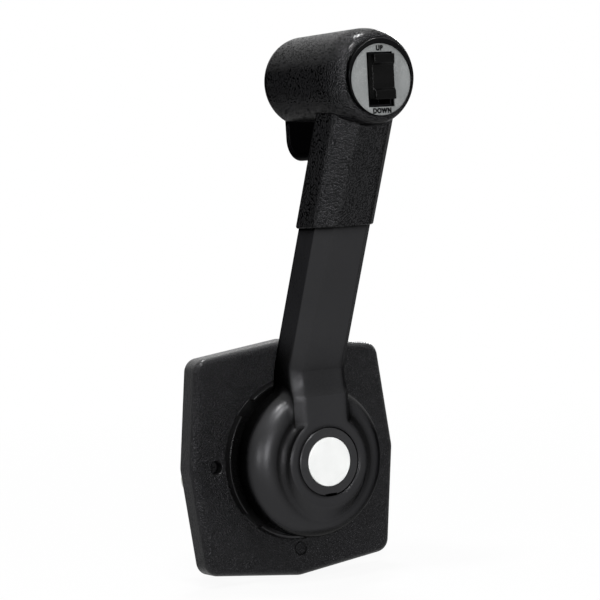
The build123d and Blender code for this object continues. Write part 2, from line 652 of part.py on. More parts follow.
# ================================================================ cable bracket and neutral switch
def cable_bracket():
    """Bent steel plate on the aft posts; its flange takes the two cable ends."""
    y0 = REAR_Y + REAR_T
    low, high = CABLE_Z[1] - BRACKET_LIP, CABLE_Z[0] + BRACKET_LIP
    face = outline(BRACKET_FOOT[0], (BRACKET_X, high), (BRACKET_X, low), (BRACKET_KNEE, low), BRACKET_FOOT[1])
    body = slab(face, y0, y0 + BRACKET_T)
    body += block(BRACKET_X - BRACKET_T, BRACKET_X, y0, y0 + BRACKET_DEPTH, low, high)
    for x, z in POSTS:
        body -= cyl(POST_SCREW_R + PLAY, y0, y0 + BRACKET_T, x, z)
    for x, z in HOLLOWS:
        body -= cyl(HOLLOW_R, y0, y0 + BRACKET_T, x, z)
    for x, z in SWITCH_SPOTS:
        body -= cyl(SWITCH_HOLE_R, y0, y0 + BRACKET_T, x, z)
    middle = ARM_Y + ARM_T / 2
    for z in CABLE_Z:
        body -= Pos(BRACKET_X - BRACKET_T / 2, middle, z) * Rot(0, 90, 0) * Cylinder(CABLE_HOLE_R, BRACKET_T)
    return body


def neutral_switch():
    """Start-in-neutral switch whose plunger is held in by the shift arm's cam."""
    y0 = REAR_Y + REAR_T + BRACKET_T
    body = block(SWITCH_X, SWITCH_X + SWITCH[0], y0, y0 + SWITCH[1],
                 GEAR_AXIS_Z - SWITCH[2] / 2, GEAR_AXIS_Z + SWITCH[2] / 2)
    tip = CAM_R + GAP
    plunger = Pos((tip + SWITCH_X) / 2, ARM_Y + ARM_T / 2, GEAR_AXIS_Z) * Rot(0, 90, 0) \
        * Cylinder(SWITCH_PLUNGER_R, SWITCH_X - tip)
    body += plunger
    for x in SWITCH_TAGS:
        body += block(SWITCH_X + x, SWITCH_X + x + TAG[0], y0 + SWITCH[1], y0 + SWITCH[1] + TAG[1],
                      GEAR_AXIS_Z - TAG[2] / 2, GEAR_AXIS_Z + TAG[2] / 2)
    for x, z in SWITCH_SPOTS:
        body -= cyl(SWITCH_HOLE_R, y0, y0 + SWITCH[1], x, z)
    return body


def switch_screws():
    y0 = REAR_Y + REAR_T + BRACKET_T
    return [screw(SWITCH_SCREW_R, SWITCH_HEAD_R, SWITCH_HEAD_H, y0 + SWITCH[1], y0 - BRACKET_T, x, z)
            for x, z in SWITCH_SPOTS]


# ================================================================ lever casting
def back_line(z):
    """Distance of the arm's back from the panel, on the straight above the bend."""
    return ARM_BACK + (z - BEND_Z) * tan(LEAN)


def arm_section(place, grow=0.0, corner=0.0):
    """Outline across the arm. place is 0 at the bend's start, 1 at its end and up to 2 at the top."""
    turn = LEAN * min(place, 1.0)
    if place <= 1:
        r = BEND_LEN / tan(LEAN / 2)
        back = (ARM_BACK + r * (1 - cos(turn)), BEND_Z - BEND_LEN + r * sin(turn))
        side = ARM_SIDE[0] + (ARM_SIDE[1] - ARM_SIDE[0]) * place
        bevel = ARM_BEVEL[0] + (ARM_BEVEL[1] - ARM_BEVEL[0]) * place
    else:
        foot = BEND_Z + BEND_LEN * cos(LEAN)
        z = foot + (ARM_TOP_Z - foot) * (place - 1)
        back = (back_line(z), z)
        side = ARM_SIDE[1] + (ARM_SIDE[2] - ARM_SIDE[1]) * (place - 1)
        bevel = ARM_BEVEL[1] + (ARM_BEVEL[2] - ARM_BEVEL[1]) * (place - 1)
    half, inset = ARM_W / 2 + grow, grow * tan(pi / 8)
    points = [(-half, grow), (half, grow), (half, -side - inset),
              (half - grow - bevel + inset, -side - bevel - grow)]
    points += [(-x, y) for x, y in reversed(points[2:])]
    face = outline(*points)
    face = fillet(face.vertices().sort_by(Axis.Y)[-2:], EDGE_R + grow)
    if corner:
        face = fillet([v for v in face.vertices() if v.Y < 1 - side], corner)
    plane = Plane(origin=(0, -back[0], back[1]), x_dir=(1, 0, 0), z_dir=(0, -sin(turn), cos(turn)))
    return plane * face


def place_at(z):
    """Arm position whose back edge is at height z."""
    foot = BEND_Z + BEND_LEN * cos(LEAN)
    return 1 + (z - foot) / (ARM_TOP_Z - foot)


def arm_run(z0, z1, grow=0.0, corner=0.0):
    """Straight stretch of the leaning arm between two heights of its back edge."""
    return loft([arm_section(place_at(z), grow, corner) for z in (z0, z1)], ruled=True)


def arm_solid():
    foot = arm_section(0)
    stem = extrude(foot, amount=-(BEND_Z - BEND_LEN))
    bend = loft([arm_section(k / 3) for k in range(4)])
    run = arm_run(BEND_Z + BEND_LEN * cos(LEAN), ARM_TOP_Z + BEYOND)
    top = block(-ARM_W, ARM_W, -GRIP_D - 2 * BEYOND, 0, ARM_TOP_Z, ARM_TOP_Z + 2 * BEYOND)
    return stem + bend + run - top


def dome():
    """Bowl with a turned-under rim and a crown that rounds down towards the boss."""
    dip = CROWN_R - sqrt(CROWN_R ** 2 - CROWN_IN ** 2)
    outer = RadiusArc((CROWN, -DOME_D), (DOME_R, DOME_SHOULDER - DOME_D), -DOME_SHOULDER)
    inner = RadiusArc((CROWN - CROWN_IN, dip - DOME_D), (CROWN, -DOME_D), -CROWN_R)
    rest = Polyline((DOME_R, DOME_SHOULDER - DOME_D), (DOME_R, -DOME_SKIRT), (RIM_R, -RIM_D), (0, -RIM_D),
                    (0, dip - DOME_D), (CROWN - CROWN_IN, dip - DOME_D))
    return turned(outer, inner, rest)


def dome_hollow():
    """Space inside the bowl, round the shaft's boss, with ribs above and below it."""
    r = DOME_R - DOME_WALL
    arc = RadiusArc((r - HOLLOW_SHOULDER, -HOLLOW_D), (r, HOLLOW_SHOULDER - HOLLOW_D), -HOLLOW_SHOULDER)
    rest = Polyline((r, HOLLOW_SHOULDER - HOLLOW_D), (r, -DOME_SKIRT), (RIM_R - DOME_WALL, -RIM_D),
                    (0, -RIM_D), (0, -HOLLOW_D), (r - HOLLOW_SHOULDER, -HOLLOW_D))
    hollow = turned(arc, rest) - cyl(HUB_R, -ARM_FRONT, -RIM_D)
    rib = block(LEVER_RIB_X - LEVER_RIB_T / 2, LEVER_RIB_X + LEVER_RIB_T / 2,
                -DOME_D, -RIM_D - LEVER_RIB_LOW, 0, DOME_R)
    for turn in (0, 180):
        hollow -= Rot(0, turn, 0) * (rib + mirror(rib, Plane.YZ))
    return hollow


def hub_boss():
    """Raised boss round the cap, level with the arm's front and fading out below."""
    top = Plane.XZ.offset(ARM_FRONT) * Circle(BOSS_TOP_R)
    foot = Plane.XZ.offset(BOSS_FOOT_D) * Pos(0, -BOSS_DROP) * Ellipse(CROWN - BOSS_FOOT_IN[0], CROWN - BOSS_FOOT_IN[1])
    return loft([foot, top], ruled=True)


def flare_section(wall_r, depth):
    """Outline, in front view, of the fillet between the arm's side and a dome of radius wall_r."""
    side = ARM_W / 2 - RUN / 2
    cx = ARM_W / 2 + FLARE_R
    cz = sqrt((wall_r + FLARE_R) ** 2 - cx ** 2)
    share = (wall_r - RUN / 2) / (wall_r + FLARE_R)
    on_arm, on_dome = Vector(side, cz), Vector(cx * share, cz * share)
    centre = Vector(cx, cz)
    middle = centre + ((on_arm - centre) + (on_dome - centre)).normalized() * FLARE_R
    root = (ARM_W / 2 - FLARE_IN, sqrt(wall_r ** 2 - (ARM_W / 2) ** 2) - FLARE_IN)
    arc = ThreePointArc(on_arm, middle, on_dome)
    return Plane.XZ.offset(depth) * make_face(Curve() + [arc, Polyline(on_dome, root, on_arm)])


def flare():
    """Fillet that follows the dome's wall and shoulder up the arm's side."""
    sections = []
    for k in range(FLARE_STEPS + 1):
        turn = pi / 2 * k / FLARE_STEPS
        sections.append(flare_section(DOME_R - DOME_SHOULDER * (1 - cos(turn)),
                                      DOME_D - DOME_SHOULDER * (1 - sin(turn))))
    return extrude(sections[0], amount=FLARE_BACK + DOME_SHOULDER - DOME_D) + loft(sections)


def lever_arm():
    """Dome and arm in one casting, hollow behind, with the cap's recess, the shaft's flatted seat,
    the lock rod's guide and spring window, and the trigger's slot."""
    bowl, boss, web = dome(), hub_boss(), flare()
    body = bowl + boss
    body = fillet(new_edges(bowl, boss, combined=body), BOSS_BLEND)
    body = body + arm_solid() + web + mirror(web, Plane.YZ)
    ends = [e for e in body.edges() if e.bounding_box().max.Y < -BOSS_BACK and abs(e.center().X) > CORNER_X
            and JOIN_Z[0] < e.bounding_box().min.Z and e.bounding_box().max.Z < JOIN_Z[1]]
    body = fillet(ends, ARM_BLEND)
    body -= dome_hollow()
    body -= cyl(HUB_R, -HUB_D, -RIM_D)
    body -= cyl(CAP_BORE, -ARM_FRONT, -CAP_LEDGE)
    body -= cyl(CAP_LEDGE_R, -CAP_LEDGE, -NUT_SEAT)
    body -= flatted(SHAFT_R + RUN, SHAFT_FLAT + RUN, -NUT_SEAT, -HUB_D)
    body -= rod_cyl(ROD_R + GAP, ROD_TIP, TONGUE_TOP)
    body -= rod_cyl(COLLAR_R + GAP, *SPRING_CHAMBER)
    body -= ROD * block(-COLLAR_R - GAP, COLLAR_R + GAP, 0, SLOT_BACK,
                        SPRING_CHAMBER[0] + WINDOW_IN, SPRING_CHAMBER[1] - WINDOW_IN)
    body -= trigger_slot()
    body += block(-TENON[0] / 2, TENON[0] / 2, BULKHEAD_BACK + 2 * GAP, BULKHEAD_BACK + TENON[1],
                  ARM_TOP_Z, ARM_TOP_Z + TENON[2])
    for z in GRIP_SCREW_Z:
        body -= cyl(GRIP_SCREW_R + PLAY, BULKHEAD_BACK, BULKHEAD_BACK + TENON[1] - TENON_FLOOR, 0, z)
    return body


def trigger_slot():
    """Room for the trigger's tongue to run up the arm's back."""
    return ROD * block(-TONGUE_W / 2 - GAP, TONGUE_W / 2 + GAP, -ROD_R - TONGUE_WEB - GAP, SLOT_BACK,
                       TONGUE_FOOT - GAP, TONGUE_TOP + TRIGGER_TRAVEL + SLOT_SPARE)


# ================================================================ hub cap, button, nut
def hub_cap():
    """Black ring on its ledge round the button, with a prying notch at the bottom."""
    body = tube(CAP_R, BUTTON_R + GAP, -CAP_FACE, -CAP_LEDGE)
    front = body.edges().filter_by(GeomType.CIRCLE).group_by(Axis.Y)[0]
    body = chamfer(front.sort_by(SortBy.RADIUS)[-1], CAP_EDGE)
    return body - block(-CAP_NOTCH[0] / 2, CAP_NOTCH[0] / 2, -CAP_FACE, -CAP_LEDGE - 2,
                        -CAP_R - 1, -CAP_R + CAP_NOTCH[1])


def warmup_button():
    """Pale button on a stem that reaches through the hollow shaft to the clutch pin."""
    back = BUTTON_T - BUTTON_FACE
    head = cyl(BUTTON_R, -BUTTON_FACE, back)
    head = fillet(head.edges().filter_by(GeomType.CIRCLE).sort_by(Axis.Y)[0], BUTTON_EDGE)
    stem = cyl(STEM_R, back, CLUTCH_PIN_Y + CLUTCH_PIN_R + STEM_TAIL)
    return head + stem - cross_cyl(CLUTCH_PIN_R, 2 * STEM_R, CLUTCH_PIN_Y)


def clutch_pin():
    return cross_cyl(CLUTCH_PIN_R, 2 * (DRUM_R - GAP), CLUTCH_PIN_Y)


def hub_nut():
    y1 = -NUT_SEAT - WASHER_T
    return hexagon(HUB_NUT_AF, y1 - HUB_NUT_H, y1, HUB_THREAD_R + PLAY)


def hub_washer():
    return tube(WASHER_R, HUB_THREAD_R + PLAY, -NUT_SEAT - WASHER_T, -NUT_SEAT)


# ================================================================ springs
def coil(r, wire, length, turns):
    """Compression spring standing on Z from 0 to length."""
    pitch = (length - wire) / turns
    path = Helix(pitch, length - wire, r - wire / 2)
    spring = sweep(Plane(path @ 0, z_dir=path % 0) * RegularPolygon(wire / 2, WIRE_SIDES), path)
    return Pos(0, 0, wire / 2) * spring


def lock_spring():
    seat = CLIP_TOP + PLAY
    return ROD * Pos(0, 0, seat) * coil(SPRING_R, SPRING_WIRE, SPRING_CHAMBER[1] - PLAY - seat, SPRING_TURNS)


def button_spring():
    front = BUTTON_T - BUTTON_FACE
    length = HUB_NUT_FACE - front - 2 * PLAY
    return Pos(0, front + PLAY, 0) * Rot(-90, 0, 0) * coil(BUTTON_SPRING_R, BUTTON_WIRE, length, BUTTON_TURNS)


# ================================================================ lock trigger
def lock_trigger():
    """Lift tab under the grip with the tongue that enters the arm."""
    front = [(back_line(z) - (SLEEVE_T + 2 * GAP) / cos(LEAN), z) for z in (TRIGGER_LOW, TRIGGER_TOP)]
    rim = Polyline((-TRIGGER_BACK - TRIGGER_R, TRIGGER_LOW), (-front[0][0], TRIGGER_LOW),
                   (-front[1][0], TRIGGER_TOP), (-TRIGGER_BACK, TRIGGER_TOP),
                   (-TRIGGER_BACK, TRIGGER_LOW + TRIGGER_R))
    nose = RadiusArc((-TRIGGER_BACK, TRIGGER_LOW + TRIGGER_R), (-TRIGGER_BACK - TRIGGER_R, TRIGGER_LOW),
                     TRIGGER_R)
    side = make_face(Curve() + [rim, nose])
    half = TRIGGER_W / 2
    body = cheek(side, -half, half)
    rounded = [e for e in body.edges() if abs(abs(e.center().X) - half) < RUN
               and e.center().Z < TRIGGER_TOP - 1 and e.center().Y > -front[0][0] + 1]
    body = fillet(rounded, TRIGGER_EDGE)
    pocket = offset(side, amount=-TRIGGER_RIM, kind=Kind.INTERSECTION)
    for x in (-half, half - TRIGGER_RECESS):
        body -= cheek(pocket, x, x + TRIGGER_RECESS)
    body += ROD * block(-TONGUE_W / 2, TONGUE_W / 2, -ROD_R - TONGUE_WEB, TONGUE_BACK,
                        TONGUE_FOOT, TONGUE_TOP)
    return body - rod_cyl(ROD_R + RUN, TONGUE_FOOT, TONGUE_FOOT + ROD_HOLD)


def lock_rod():
    """Straight rod from the tongue to just over the lock sleeve's notch."""
    return rod_cyl(ROD_R, ROD_TIP, TONGUE_FOOT + ROD_HOLD)


def rod_clip():
    """Collar clipped to the rod as the spring's seat."""
    return rod_cyl(COLLAR_R, CLIP_TOP - CLIP_T, CLIP_TOP) - rod_cyl(ROD_R + RUN, CLIP_TOP - CLIP_T, CLIP_TOP)


# ================================================================ sleeve and grip
def grip_shape(inset=0.0):
    """Barrel outline turned about its own axis, from its front edge to the rounded end."""
    end_y, neck_y = GRIP_LEN - GRIP_END, GRIP_FACE_Y + GRIP_SHOULDER
    back_r, front_r = GRIP_BACK_R - inset, GRIP_FRONT_R - inset
    tail = EllipticalCenterArc((0, end_y), back_r, GRIP_END - inset, start_angle=0, arc_size=90)
    flank = Line((back_r, end_y), (front_r, neck_y))
    face_r = GRIP_FACE_R - inset
    if inset:
        neck = Polyline((front_r, neck_y), (face_r, neck_y - 5), (face_r, GRIP_FACE_Y))
    else:
        neck = EllipticalCenterArc((face_r, neck_y), front_r - face_r, GRIP_SHOULDER,
                                   start_angle=270, arc_size=90)
    close = Polyline((face_r, GRIP_FACE_Y), (0, GRIP_FACE_Y), (0, end_y + GRIP_END - inset))
    return revolve(make_face(Curve() + [tail, flank, neck, close]), Axis.Y, 360)


def grip_body():
    """Hollow barrel with a bulkhead, the arm's socket and the trigger's slot underneath."""
    wall_hole = cyl(WIRE_HOLE_R, BULKHEAD_Y, BULKHEAD_Y + BULKHEAD_T, 0, WIRE_HOLE_UP)
    hollow = grip_shape(GRIP_WALL) - (cyl(GRIP_FRONT_R, BULKHEAD_Y, BULKHEAD_Y + BULKHEAD_T) - wall_hole)
    body = GRIP * (grip_shape() - hollow)
    socket = arm_run(ARM_TOP_Z - SOCKET_DEEP, ARM_TOP_Z + SLEEVE_TOP, PLAY)
    body -= socket & block(-ARM_W, ARM_W, -GRIP_D - BEYOND, 0, 0, ARM_TOP_Z + PLAY)
    half = TRIGGER_W / 2 + GAP
    body -= block(-half, half, -back_line(ARM_TOP_Z), -TRIGGER_BACK + GAP, GRIP_Z - BEYOND,
                  TRIGGER_TOP + TRIGGER_TRAVEL + SLOT_SPARE)
    for z in GRIP_SCREW_Z:
        body -= cyl(GRIP_SCREW_R + PLAY, BULKHEAD_BACK - 2 * BULKHEAD_T, BULKHEAD_BACK + 1, 0, z)
    return body


def grip_sleeve():
    """Rubber sleeve over the upper arm, rounded at its level lower edge."""
    body = arm_run(SLEEVE_Z - BEYOND / 2, ARM_TOP_Z + SLEEVE_TOP, SLEEVE_T, SLEEVE_CORNER)
    body -= block(-ARM_W, ARM_W, -GRIP_D, 0, 0, SLEEVE_Z)
    body = fillet(body.faces().sort_by(Axis.Z)[0].edges(), SLEEVE_LIP)
    body -= arm_run(SLEEVE_Z - BEYOND / 2, ARM_TOP_Z + BEYOND, RUN)
    return body - GRIP * grip_shape() - trigger_slot()


def grip_screws():
    seat = BULKHEAD_BACK - BULKHEAD_T
    end = BULKHEAD_BACK + GRIP_SCREW_GRAB
    return [screw(GRIP_SCREW_R, POST_HEAD_R, POST_HEAD_H, seat, end, 0, z) for z in GRIP_SCREW_Z]


def slot_block(grow, y0, y1):
    return block(-SLOT_W / 2 - grow, SLOT_W / 2 + grow, y0, y1,
                 -LABEL_DROP - SLOT_H / 2 - grow, SLOT_H / 2 - LABEL_DROP + grow)


def switch_cap():
    """Black end cap whose rim stands round the off-centre label."""
    flange = cyl(CAP_RING_R, -CAP_RING_H, GRIP_FACE_Y)
    flange = fillet(flange.edges().filter_by(GeomType.CIRCLE).sort_by(Axis.Y)[0], 0.15)
    skirt = tube(GRIP_FACE_R - GRIP_WALL - PLAY, GRIP_FACE_R - GRIP_WALL - 2, GRIP_FACE_Y, CAP_RING_DEEP)
    body = flange + cyl(GRIP_FACE_R - GRIP_WALL - PLAY, GRIP_FACE_Y, GRIP_FACE_Y + 2) + skirt
    body -= cyl(LABEL_R + PLAY, -CAP_RING_H, LABEL_T, 0, -LABEL_DROP)
    return GRIP * (body - slot_block(PLAY, -1, CAP_RING_DEEP))


def label_disc():
    return GRIP * (cyl(LABEL_R, 0, LABEL_T, 0, -LABEL_DROP) - slot_block(0, 0, LABEL_T))


def switch_housing():
    """Open box behind the label that carries the rocker's pin."""
    body = slot_block(-PLAY, HOUSING_FRONT, HOUSING_DEEP)
    body -= slot_block(-PLAY - HOUSING_WALL, HOUSING_FRONT, HOUSING_DEEP - HOUSING_FLOOR)
    body -= cross_cyl(ROCKER_PIN_R, SLOT_W, ROCKER_PIVOT, ROCKER_Z)
    for z in HOUSING_TAGS:
        body += block(-TAG[0] / 2, TAG[0] / 2, HOUSING_DEEP, HOUSING_DEEP + TAG[2],
                      z - TAG[2] / 2, z + TAG[2] / 2)
    return GRIP * body


def rocker_pin():
    return GRIP * cross_cyl(ROCKER_PIN_R, SLOT_W - 2 * PLAY, ROCKER_PIVOT, ROCKER_Z)


def trim_rocker():
    """Rocker with raised ends, a hollow middle and sides that spread to a skirt at the label."""
    top, half, back = -ROCKER_PROUD, ROCKER_H / 2, ROCKER_PIVOT + 2 * ROCKER_PIN_R
    face = [(top, half), (top, half - ROCKER_END), (top + ROCKER_HOLLOW, half - ROCKER_END - ROCKER_RAMP)]
    foot = [(back, half - ROCKER_END), (ROCKER_SKIRT_Y, half - ROCKER_RAMP),
            (ROCKER_SKIRT_Y, half - ROCKER_EDGE)]
    below = [[(y, -z) for y, z in reversed(points)] for points in (face, foot)]
    body = cheek(outline(*face, *below[0], *below[1], *foot), -ROCKER_SKIRT / 2, ROCKER_SKIRT / 2)
    right = [(ROCKER_W / 2, top), (ROCKER_SKIRT / 2, 0), (ROCKER_SKIRT / 2, ROCKER_SKIRT_Y),
             (ROCKER_BODY / 2, ROCKER_SKIRT_Y), (ROCKER_BODY / 2, back)]
    plan = outline(*right, *[(-x, y) for x, y in reversed(right)])
    body &= Pos(0, 0, -half) * extrude(plan, 2 * half)
    ends = [e for e in body.edges().filter_by(Axis.X) if e.center().Y < top + RUN]
    body = fillet(ends, ROCKER_EDGE)
    body -= cross_cyl(ROCKER_PIN_R + RUN, ROCKER_SKIRT, ROCKER_PIVOT)
    return GRIP * Pos(0, 0, ROCKER_Z) * body


# ================================================================ write the nodes
os.makedirs("parts", exist_ok=True)

save("face_plate", face_plate())
save("hub_ring", hub_ring())
save("panel_screws", *panel_screws())
save("screw_plugs", *screw_plugs())
save("chassis", chassis())
save("chassis_screws", *chassis_screws())
save("lock_sleeve", lock_sleeve())
save("front_bush", flanged_bush(SHAFT_R, BOSS_FRONT, BOSS_END, BOSS_FRONT))
save("rear_bush", flanged_bush(SHAFT_R, REAR_Y, REAR_Y + 2 * REAR_T, REAR_Y))
save("sector_bushes",
     flanged_bush(SECTOR_SHAFT_R, 0, BOSS_END, BOSS_END, GEAR_AXIS_Z),
     flanged_bush(SECTOR_SHAFT_R, REAR_Y, REAR_Y + 2 * REAR_T, REAR_Y, GEAR_AXIS_Z))
save("rear_plate", rear_plate())
save("rear_screws", *rear_screws())
save("friction_shoe", friction_shoe())
save("friction_screw", friction_screw())
save("friction_nut", friction_nut())
save("cable_bracket", cable_bracket())
save("neutral_switch", neutral_switch())
save("switch_screws", *switch_screws())

save("lever_arm", lever_arm())
save("main_shaft", main_shaft())
save("pinion", pinion())
save("clutch_sleeve", clutch_sleeve())
save("throttle_arm", cable_arm(SECTOR_HUB_R, THROTTLE_LEN, 0))
save("throttle_nut", end_nut(0))
save("hub_nut", hub_nut())
save("hub_washer", hub_washer())
save("hub_cap", hub_cap())
save("grip_sleeve", grip_sleeve())
save("grip_body", grip_body())
save("grip_screws", *grip_screws())
save("switch_cap", switch_cap())
save("label_disc", label_disc())
save("switch_housing", switch_housing())
save("rocker_pin", rocker_pin())
save("trim_rocker", trim_rocker())

save("lock_trigger", lock_trigger())
save("lock_rod", lock_rod())
save("rod_clip", rod_clip())
save("lock_spring", lock_spring())
save("warmup_button", warmup_button())
save("clutch_pin", clutch_pin())
save("button_spring", button_spring())

save("shift_sector", sector())
save("sector_shaft", sector_shaft())
save("shift_arm", cable_arm(SECTOR_HUB_R - 1, -SHIFT_LEN, GEAR_AXIS_Z, cam=True))
save("shift_nut", end_nut(GEAR_AXIS_Z))
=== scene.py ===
"""Side-mount boat throttle and shift control: finishes, wound and threaded pieces, lettering, studio."""
from math import pi, radians, tau

import bmesh
import bpy
from mathutils import Matrix, Vector


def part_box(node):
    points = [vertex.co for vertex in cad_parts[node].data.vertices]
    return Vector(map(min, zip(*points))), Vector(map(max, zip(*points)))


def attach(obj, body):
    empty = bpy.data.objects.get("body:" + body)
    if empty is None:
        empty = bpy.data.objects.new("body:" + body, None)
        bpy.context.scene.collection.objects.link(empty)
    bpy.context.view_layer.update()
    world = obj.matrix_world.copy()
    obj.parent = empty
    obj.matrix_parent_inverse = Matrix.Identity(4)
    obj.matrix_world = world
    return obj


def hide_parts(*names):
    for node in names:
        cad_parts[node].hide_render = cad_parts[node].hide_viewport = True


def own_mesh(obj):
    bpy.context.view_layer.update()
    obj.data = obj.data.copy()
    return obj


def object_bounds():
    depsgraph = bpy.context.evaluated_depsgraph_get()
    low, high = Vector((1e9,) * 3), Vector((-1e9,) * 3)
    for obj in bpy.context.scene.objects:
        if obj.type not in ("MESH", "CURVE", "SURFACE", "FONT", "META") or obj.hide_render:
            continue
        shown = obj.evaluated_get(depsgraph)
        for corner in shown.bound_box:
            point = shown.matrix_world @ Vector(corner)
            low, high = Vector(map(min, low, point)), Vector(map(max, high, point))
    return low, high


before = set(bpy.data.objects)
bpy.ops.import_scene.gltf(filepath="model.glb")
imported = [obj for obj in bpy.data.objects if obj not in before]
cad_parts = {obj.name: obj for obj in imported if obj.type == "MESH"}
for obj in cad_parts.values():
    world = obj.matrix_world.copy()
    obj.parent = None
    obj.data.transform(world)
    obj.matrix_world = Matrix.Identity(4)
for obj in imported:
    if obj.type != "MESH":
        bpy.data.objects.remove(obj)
cad_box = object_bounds()
scene = bpy.context.scene
scene.view_settings.view_transform = "Standard"


# ---------------------------------------------------------------- chassis
# The casting that every shaft turns in, screwed to the back of the face plate. It is die-cast
# aluminium left as cast: dull grey, with a fine sandy skin and the faint clouds of the metal's flow.
class Sock:
    """A socket of a node tree; + - * on it add Math nodes."""

    def __init__(self, tree, socket):
        self.tree, self.socket = tree, socket

    def math(self, operation, *values):
        return self.tree.node("ShaderNodeMath", {"operation": operation}, *values)

    def __add__(self, other):
        return self.math("ADD", self, other)

    def __sub__(self, other):
        return self.math("SUBTRACT", self, other)

    def __rsub__(self, other):
        return self.math("SUBTRACT", other, self)

    def __mul__(self, other):
        return self.math("MULTIPLY", self, other)

    __radd__ = __add__
    __rmul__ = __mul__

    def ramp(self, low, high, to_low=0.0, to_high=1.0):
        """Map low..high to to_low..to_high, clamped."""
        return self.tree.node("ShaderNodeMapRange", {"clamp": True}, self, low, high, to_low, to_high)


class Tree:
    """A node tree under construction; node() is the one way in which it gets a node."""

    def __init__(self, tree):
        self.nodes, self.links = tree.nodes, tree.links
        self.nodes.clear()

    def node(self, kind, settings, *inputs, out=0, at=None, **named):
        """Add a node; its sockets are given in order, by number in at, or by name."""
        made = self.nodes.new(kind)
        for setting, value in settings.items():
            setattr(made, setting, value)
        sockets = dict(enumerate(inputs)) | (at or {})
        sockets |= {name.replace("_", " "): value for name, value in named.items()}
        for key, value in sockets.items():
            socket = made.inputs[key]
            for item in value if isinstance(value, list) else [value]:
                if isinstance(item, Sock):
                    self.links.new(item.socket, socket)
                else:
                    socket.default_value = (*item, 1) if socket.type == "RGBA" else item
        return Sock(self, made.outputs[out]) if made.outputs else None


class Finish(Tree):
    """A material, or a world, under construction."""

    def __init__(self, name, within=bpy.data.materials):
        self.made = within.new(name)
        self.made.use_nodes = True
        super().__init__(self.made.node_tree)

    def spot(self, stretch):
        """Object coordinates in metres, stretched along the axes."""
        spot = self.node("ShaderNodeTexCoord", {}, out="Object")
        return self.node("ShaderNodeMapping", {}, spot, Scale=stretch) if stretch else spot

    def noise(self, scale, detail=3.0, rough=0.5, stretch=None):
        """Noise with scale waves in a metre."""
        return self.node("ShaderNodeTexNoise", {}, Vector=self.spot(stretch), Scale=scale,
                         Detail=detail, Roughness=rough)

    def mix(self, amount, a, b):
        """Colour b over colour a."""
        return self.node("ShaderNodeMix", {"data_type": "RGBA"}, at={0: amount, 6: a, 7: b}, out=2)

    def rounded(self, radius):
        """Normal that rounds the hard edges by radius."""
        return self.node("ShaderNodeBevel", {"samples": 6}, Radius=radius)

    def relief(self, height, depth, over):
        """Normal over with a relief on it, whose height of 1 stands for depth in metres."""
        return self.node("ShaderNodeBump", {}, Distance=depth, Height=height, Normal=over)

    def done(self, **sockets):
        """Finish with one Principled shader."""
        shader = self.node("ShaderNodeBsdfPrincipled", {}, **sockets)
        self.node("ShaderNodeOutputMaterial", {}, shader)
        return self.made


def wear(material, *nodes):
    """Give every slot of these CAD nodes the material."""
    for node in nodes:
        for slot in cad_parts[node].material_slots:
            slot.material = material


cast_dull, cast_bright = (0.40, 0.41, 0.42), (0.52, 0.53, 0.54)
cast_edge, sand_depth = 0.0006, 0.00012
cast = Finish("cast_aluminium")
sand = cast.noise(1600.0, rough=0.6)
flow = cast.noise(45.0, detail=4.0)
wear(cast.done(Base_Color=cast.mix(flow.ramp(0.3, 0.7), cast_dull, cast_bright), Metallic=0.9,
               Roughness=flow * 0.15 + 0.42,
               Normal=cast.relief(sand, sand_depth, cast.rounded(cast_edge))),
     "chassis")


# ---------------------------------------------------------------- bushes
# Plain bearings pressed into the casting and the rear plate for the two shafts. They are sintered
# bronze soaked in oil, turned to size, so their skin is brown and a little matt.
turning_stretch = (0.15, 1.0, 0.15)
marks_depth = 0.00002


def metal(name, dark, light, rough, marks_scale, edge=0.0004):
    """Bare metal with fine turning marks round the Y axis."""
    skin = Finish(name)
    marks = skin.noise(marks_scale, rough=0.6, stretch=turning_stretch)
    stain = skin.noise(70.0, detail=4.0)
    return skin.done(Base_Color=skin.mix(stain.ramp(0.3, 0.7), dark, light), Metallic=1.0,
                     Roughness=marks * 0.18 + stain * 0.08 + rough,
                     Normal=skin.relief(marks, marks_depth, skin.rounded(edge)))


oiled_bronze = metal("oiled_bronze", (0.36, 0.22, 0.09), (0.47, 0.31, 0.14), 0.30, 1500.0)
wear(oiled_bronze, "front_bush", "rear_bush", "sector_bushes")


# ---------------------------------------------------------------- main shaft, pinion and clutch
# The lever's splined shaft carries the pinion, which the clutch sleeve and its pin join to it.
# All are turned from stainless bar and ground where they run.
turned_steel = metal("turned_steel", (0.46, 0.46, 0.47), (0.56, 0.56, 0.57), 0.18, 2400.0)
wear(turned_steel, "main_shaft", "pinion", "clutch_sleeve", "clutch_pin")


# ---------------------------------------------------------------- shift sector
# A toothed sector on its own short shaft, which the pinion turns the other way at half speed.
# Both are cut from hardened steel.
wear(turned_steel, "shift_sector", "sector_shaft")


